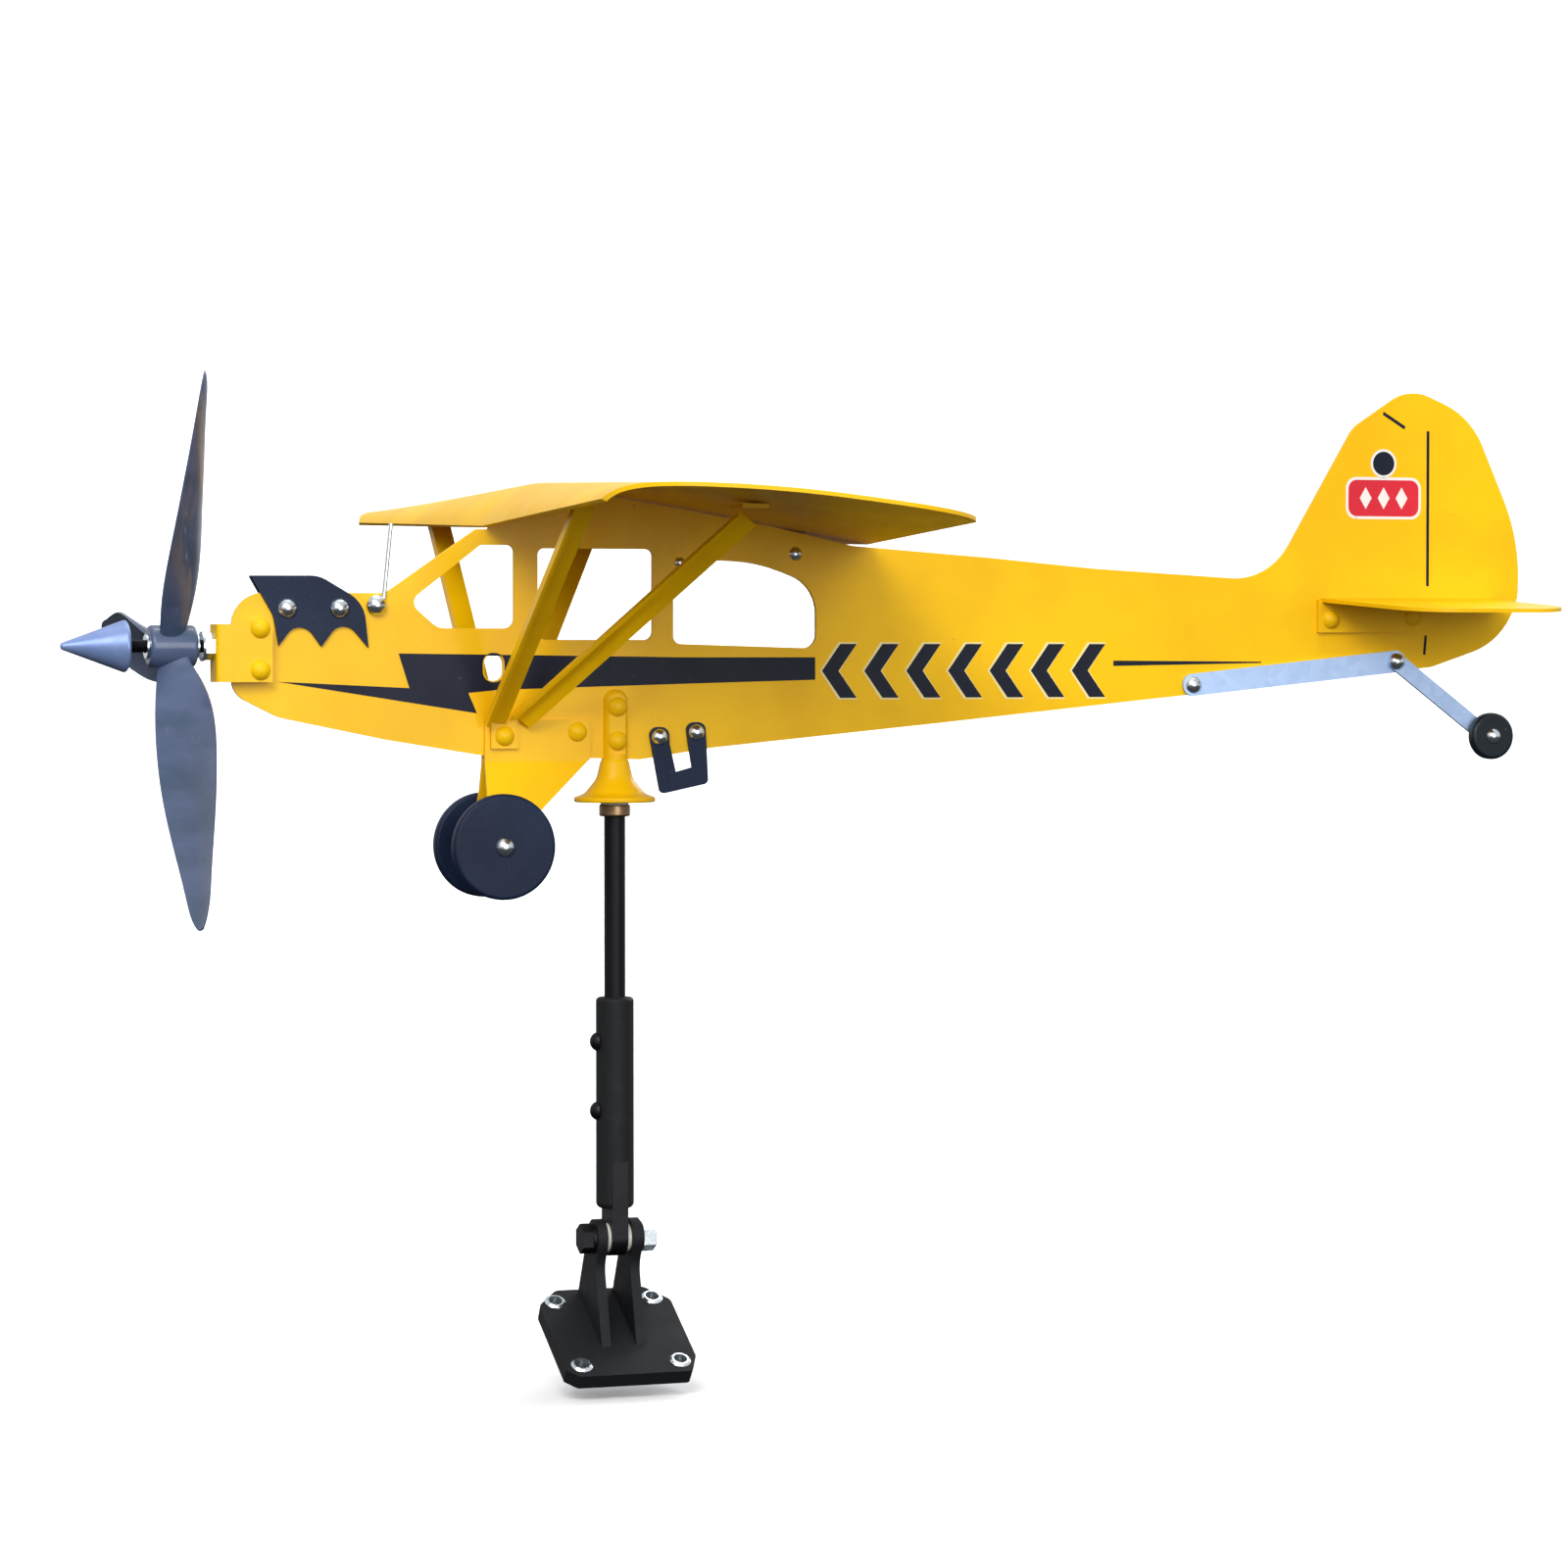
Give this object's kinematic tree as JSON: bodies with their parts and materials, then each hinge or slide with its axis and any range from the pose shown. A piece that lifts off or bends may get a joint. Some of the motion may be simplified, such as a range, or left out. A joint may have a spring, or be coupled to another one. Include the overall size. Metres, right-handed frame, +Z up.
{
  "type": "aeroplane wind spinner",
  "caption": "Painted sheet-metal high-wing aeroplane weathervane with a wind-driven propeller, turning on a rod held in a tilting screw-down roof mount.",
  "frame": {"origin": "centre of the base plate's underside, at the middle of its four fixing holes", "axes": "+Z up along the upright rod, -X towards the aeroplane's nose, +Y to its far (starboard) side"},
  "size_m": [0.4762, 0.296, 0.3028],
  "materials": {
    "yellow_paint": "gloss enamel on sheet steel",
    "yellow_fastener": "fasteners painted over with the body colour",
    "navy_paint": "satin dark blue enamel",
    "black_mount": "black powder coat",
    "black_rod": "smooth black coating",
    "dark_steel": "blackened steel",
    "bright_steel": "bright zinc plated",
    "galvanised": "galvanised strip",
    "aluminium": "turned, satin",
    "bronze": "sintered bearing bronze",
    "nylon": "plain white nylon",
    "propeller_plastic": "moulded, dark blue-grey, glossy",
    "tail_wheel_black": "moulded, near black"
  },
  "bodies": {
    "base": {"base_plate": "black_mount", "base_eyelets": "bright_steel", "hinge_bolt": "dark_steel", "hinge_washers": "dark_steel", "hinge_nut": "bright_steel"},
    "socket": {"rod_socket": "black_mount", "hinge_tongue": "dark_steel", "friction_washers": "nylon", "socket_set_screws": "dark_steel"},
    "rod": {"support_rod": "black_rod", "rod_collar": "bronze", "thrust_washer": "nylon"},
    "spinner": {"propeller": "propeller_plastic", "propeller_bush": "bronze"},
    "left_wheel": {"wheel_left": "navy_paint"},
    "right_wheel": {"wheel_right": "navy_paint"},
    "rear_wheel": {"tail_wheel": "tail_wheel_black"},
    "airframe": {"bracket_screws": "yellow_fastener", "cabin_screw": "bright_steel", "engine_plate_left": "navy_paint", "engine_plate_right": "navy_paint", "engine_plate_screws": "bright_steel", "fuselage_plate": "yellow_paint", "gauge_screw": "bright_steel", "gauge_wire": "bright_steel", "gear_leg_left": "yellow_paint", "gear_leg_right": "yellow_paint", "gear_screws": "yellow_fastener", "housing_screws": "yellow_fastener", "nose_bracket": "yellow_paint", "nose_spacers": "bright_steel", "propeller_shaft": "dark_steel", "shaft_nuts": "bright_steel", "shaft_washers": "bright_steel", "spinner_nut": "aluminium", "stabiliser_left": "yellow_paint", "stabiliser_right": "yellow_paint", "stabiliser_screws": "yellow_fastener", "step_plate": "navy_paint", "step_screws": "bright_steel", "strut_feet": "yellow_paint", "strut_front_left": "yellow_paint", "strut_front_right": "yellow_paint", "strut_rear_left": "yellow_paint", "strut_rear_right": "yellow_paint", "strut_top_tabs": "yellow_paint", "swivel_bush": "bronze", "swivel_housing": "yellow_paint", "tail_axle_screw": "bright_steel", "tail_spring_strip": "galvanised", "tail_strip_screws": "bright_steel", "tail_wheel_leg": "galvanised", "thrust_ball": "bright_steel", "wheel_axle_screws": "bright_steel", "wing_bracket_screws": "bright_steel", "wing_brackets": "yellow_paint", "wing_panel": "yellow_paint"}
  },
  "joints": [
    {"name": "mount_tilt", "type": "hinge", "parent": "base", "child": "socket", "pos_m": [0, 0, 0.032], "axis": [1, 0, 0], "range_deg": [-50, 90]},
    {"name": "rod_height", "type": "slide", "parent": "socket", "child": "rod", "axis": [0, 0, 1], "range_m": [0, 0.02]},
    {"name": "weathervane_turn", "type": "hinge", "parent": "rod", "child": "airframe", "pos_m": [0, 0, 0.17], "axis": [0, 0, 1], "continuous": true},
    {"name": "propeller_spin", "type": "hinge", "parent": "airframe", "child": "spinner", "pos_m": [-0.136, 0, 0.211], "axis": [1, 0, 0], "continuous": true},
    {"name": "left_wheel_spin", "type": "hinge", "parent": "airframe", "child": "left_wheel", "pos_m": [-0.038, -0.01, 0.1513], "axis": [0, 1, 0], "continuous": true},
    {"name": "right_wheel_spin", "type": "hinge", "parent": "airframe", "child": "right_wheel", "pos_m": [-0.038, 0.01, 0.1513], "axis": [0, 1, 0], "continuous": true},
    {"name": "tail_wheel_spin", "type": "hinge", "parent": "airframe", "child": "rear_wheel", "pos_m": [0.295, -0.0057, 0.1822], "axis": [0, 1, 0], "continuous": true}
  ]
}
